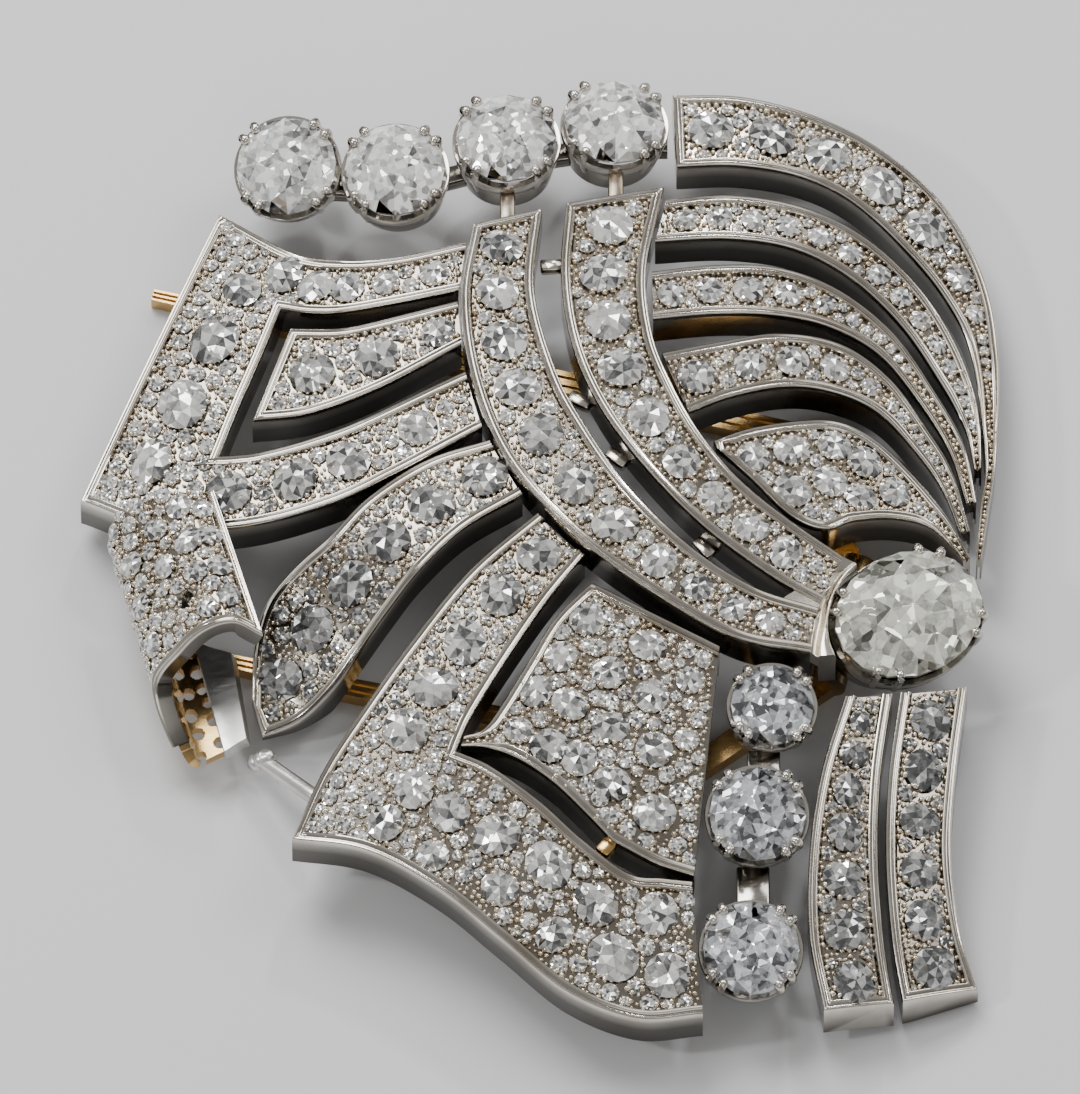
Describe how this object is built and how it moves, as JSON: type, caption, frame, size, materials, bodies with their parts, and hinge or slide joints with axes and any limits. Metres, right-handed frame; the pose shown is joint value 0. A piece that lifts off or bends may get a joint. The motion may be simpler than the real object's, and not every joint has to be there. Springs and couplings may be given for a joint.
{
  "type": "double clip brooch",
  "caption": "Domed openwork brooch clip of crossing diamond-set ribbons, curved bands and a rolled scroll, with a hinged two-prong clip at the back.",
  "frame": {"origin": "under the middle of the outline, at the height of the surface that the fork rests on", "axes": "+Z out of the set face, +Y towards the row of four large stones, +X towards the oval stone"},
  "size_m": [0.0422, 0.0482, 0.0078],
  "materials": {
    "white_metal": "polished platinum",
    "yellow_metal": "polished yellow gold",
    "small_stones": "cut diamonds in a grained bed",
    "main_stones": "brilliant cut diamonds"
  },
  "bodies": {
    "brooch": {"ribbon_a": "white_metal", "ribbon_b": "white_metal", "left_bracket": "white_metal", "left_tongue": "white_metal", "scroll_band": "white_metal", "scroll_curl": "white_metal", "curl_back": "yellow_metal", "curl_strut": "white_metal", "lower_frame": "white_metal", "inner_plaque": "white_metal", "arc_1": "white_metal", "arc_2": "white_metal", "arc_3": "white_metal", "arc_4": "white_metal", "leaf_plaque": "white_metal", "tail_left": "white_metal", "tail_right": "white_metal", "pave_left": "small_stones", "pave_right": "small_stones", "top_setting": "white_metal", "side_setting": "white_metal", "oval_setting": "white_metal", "top_stone_1": "main_stones", "top_stone_2": "main_stones", "top_stone_3": "main_stones", "top_stone_4": "main_stones", "side_stone_1": "main_stones", "side_stone_2": "main_stones", "side_stone_3": "main_stones", "oval_stone": "main_stones", "hinge_bracket": "yellow_metal"},
    "clip": {"clip_fork": "yellow_metal"}
  },
  "joints": [
    {"name": "clip_hinge", "type": "hinge", "parent": "brooch", "child": "clip", "pos_m": [0.01383, -0.00236, 0.001], "axis": [-0.2419, -0.9703, 0], "range_deg": [0, 60], "stiffness_Nm_per_rad": 0.01, "springref_deg": -17.19}
  ]
}
